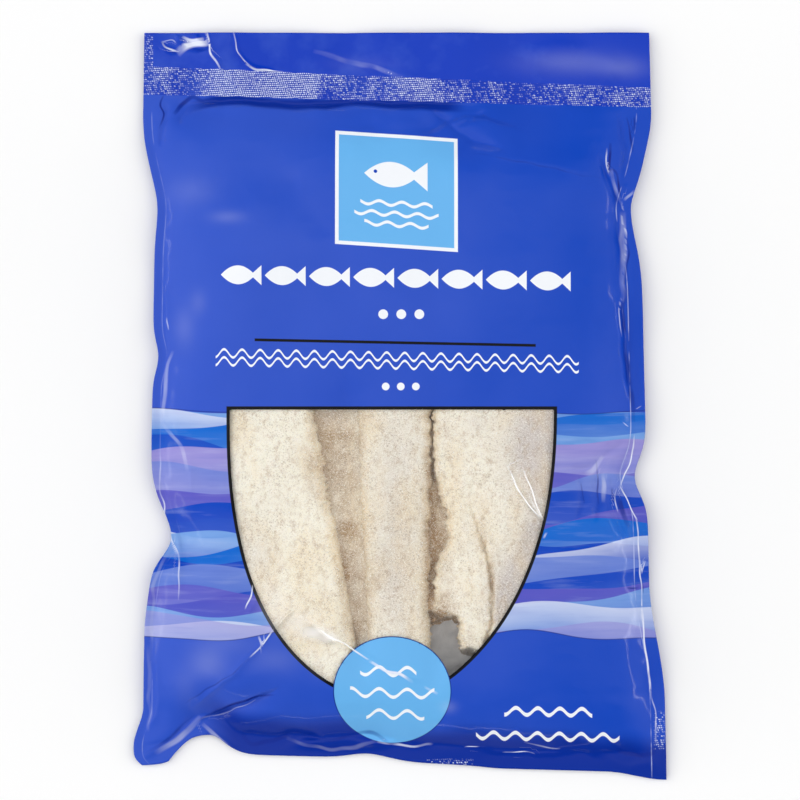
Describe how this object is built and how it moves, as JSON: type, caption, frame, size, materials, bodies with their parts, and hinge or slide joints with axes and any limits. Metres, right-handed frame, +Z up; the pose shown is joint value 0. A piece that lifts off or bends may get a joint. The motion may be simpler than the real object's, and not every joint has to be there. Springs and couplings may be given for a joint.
{
  "type": "pouch of salted pollock fillets",
  "caption": "Flat sealed plastic pouch of salted white fish fillets, printed blue with a clear shield-shaped window, lying on its back.",
  "frame": {"origin": "on the table, under the middle of the pouch", "axes": "+Y towards the pouch's top edge, with its plain header; +Z up, out of the printed front; +X to the right as the front is seen upright"},
  "size_m": [0.2683, 0.376, 0.0301],
  "materials": {
    "printed_film": "glossy printed film with soft creases",
    "clear_film": "clear glossy film with soft creases",
    "salted_fish": "matte, dry, fibrous, dusted with salt"
  },
  "bodies": {
    "root": {"pouch": "printed_film", "fillet_left": "salted_fish", "fillet_under_left": "salted_fish", "fillet_middle": "salted_fish", "fillet_under_right": "salted_fish", "fillet_right": "salted_fish"}
  },
  "joints": []
}
